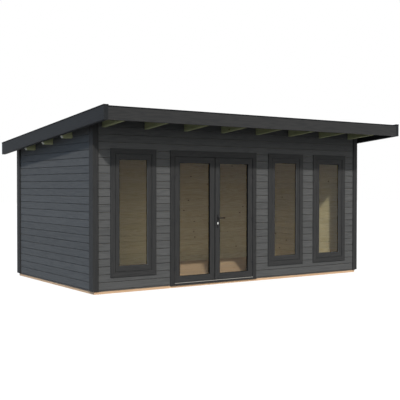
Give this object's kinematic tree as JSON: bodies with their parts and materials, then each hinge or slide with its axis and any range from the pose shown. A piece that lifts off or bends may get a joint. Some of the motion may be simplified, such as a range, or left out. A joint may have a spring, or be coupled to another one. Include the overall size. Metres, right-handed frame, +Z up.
{
  "type": "garden house",
  "caption": "Timber garden house with a mono-pitch roof, deep front eave, tall fixed windows and a glazed double door.",
  "frame": {"origin": "on the ground, below the middle of the roof's outline", "axes": "+X to the right along the front, +Y from the front to the back, +Z up"},
  "size_m": [6.174, 4.115, 2.8326],
  "materials": {
    "wall_boards": "matt dark grey wood paint outside, untreated pine inside",
    "dark_trim": "matt anthracite wood paint",
    "joist_wood": "untreated softwood",
    "floor_boards": "untreated pine boards",
    "inner_pine": "untreated planed pine",
    "roof_timber": "pressure-treated softwood",
    "roof_boards": "planed softwood boards",
    "covering": "dark roofing sheet",
    "glass": "clear float glass",
    "sill_metal": "mill-finished aluminium",
    "hinge_steel": "dark coated steel",
    "dark_metal": "dark coated metal, satin",
    "lock_metal": "nickel-plated brass"
  },
  "bodies": {
    "house": {"front_joist": "joist_wood", "rear_joist": "joist_wood", "cross_joists": "joist_wood", "floor": "floor_boards", "front_wall_left": "wall_boards", "front_wall_right": "wall_boards", "front_wall_head": "wall_boards", "left_wall": "wall_boards", "right_wall": "wall_boards", "rear_wall": "wall_boards", "corner_board_front_left": "dark_trim", "corner_board_front_right": "dark_trim", "corner_board_rear_left": "dark_trim", "corner_board_rear_right": "dark_trim", "window_frame_left": "dark_trim", "window_frame_middle": "dark_trim", "window_frame_right": "dark_trim", "window_sash_left": "dark_trim", "window_sash_middle": "dark_trim", "window_sash_right": "dark_trim", "window_panes": "glass", "door_jamb_left": "dark_trim", "door_jamb_right": "dark_trim", "door_head": "dark_trim", "door_sill": "sill_metal", "door_threshold": "dark_trim", "frame_hinges": "hinge_steel", "inner_casings": "inner_pine", "rafters": "roof_timber", "outriggers": "roof_timber", "left_verge_beam": "dark_trim", "right_verge_beam": "dark_trim", "front_fascia": "dark_trim", "rear_fascia": "dark_trim", "roof_deck": "roof_boards", "roof_covering": "covering"},
    "left_leaf": {"door_leaf_left": "dark_trim", "door_glass_left": "glass", "leaf_hinges_left": "hinge_steel"},
    "right_leaf": {"door_leaf_right": "dark_trim", "door_glass_right": "glass", "leaf_hinges_right": "hinge_steel", "lock_plates": "dark_metal", "lock_cylinder": "lock_metal"},
    "lever": {"door_lever": "dark_metal"}
  },
  "joints": [
    {"name": "left_door", "type": "hinge", "parent": "house", "child": "left_leaf", "pos_m": [-1.3625, -1.2365, 1], "axis": [0, 0, -1], "range_deg": [0, 110]},
    {"name": "right_door", "type": "hinge", "parent": "house", "child": "right_leaf", "pos_m": [0.2625, -1.2365, 1], "axis": [0, 0, 1], "range_deg": [0, 110]},
    {"name": "lever_turn", "type": "hinge", "parent": "right_leaf", "child": "lever", "pos_m": [-0.497, -1.2235, 1.131], "axis": [0, 1, 0], "range_deg": [0, 40], "stiffness_Nm_per_rad": 1.5, "springref_deg": -20.05}
  ]
}
